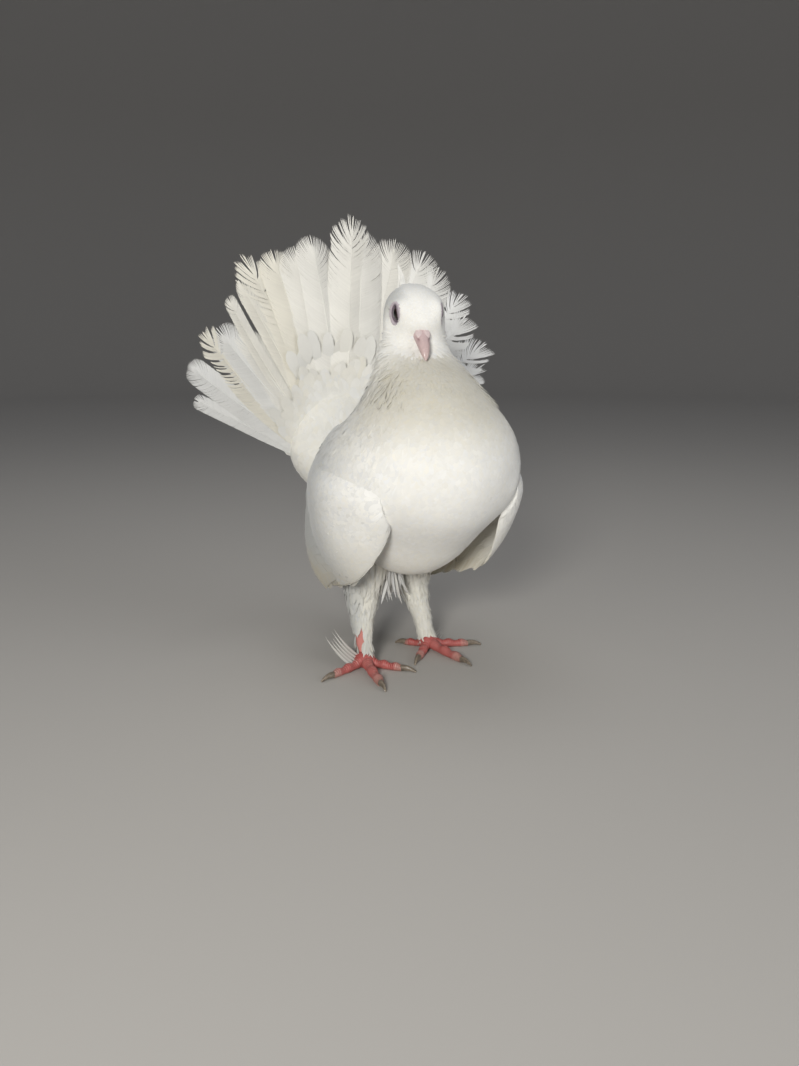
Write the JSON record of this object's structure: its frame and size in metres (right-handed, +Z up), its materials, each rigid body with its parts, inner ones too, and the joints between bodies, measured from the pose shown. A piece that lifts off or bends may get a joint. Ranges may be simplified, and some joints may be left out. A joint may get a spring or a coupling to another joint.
{
  "type": "fantail pigeon",
  "caption": "Still life-size white fantail pigeon, standing with its breast out and its tail raised in an open fan.",
  "frame": {"origin": "on the floor under the middle of the bird's overall box", "axes": "+Z up; the bird faces -Y, with its left side at +X and its fan at +Y; the height is the longest extent"},
  "size_m": [0.2062, 0.1928, 0.265],
  "materials": {
    "plumage": "soft white feathers, a little stained",
    "bill": "pale pink horn with a whitish cere",
    "foot": "red scaly skin",
    "claw": "grey-brown horn",
    "eye": "wet and very dark"
  },
  "bodies": {
    "root": {"bill_lower": "bill", "bill_upper": "bill", "claw_left_hind": "claw", "claw_left_inner": "claw", "claw_left_middle": "claw", "claw_left_outer": "claw", "claw_right_hind": "claw", "claw_right_inner": "claw", "claw_right_middle": "claw", "claw_right_outer": "claw", "eye_left": "eye", "eye_right": "eye", "head": "plumage", "leg_left": "plumage", "leg_right": "plumage", "neck": "plumage", "rump": "plumage", "tail": "plumage", "toe_left_hind": "foot", "toe_left_inner": "foot", "toe_left_middle": "foot", "toe_left_outer": "foot", "toe_right_hind": "foot", "toe_right_inner": "foot", "toe_right_middle": "foot", "toe_right_outer": "foot", "torso": "plumage", "wing_left": "plumage", "wing_right": "plumage"}
  },
  "joints": []
}
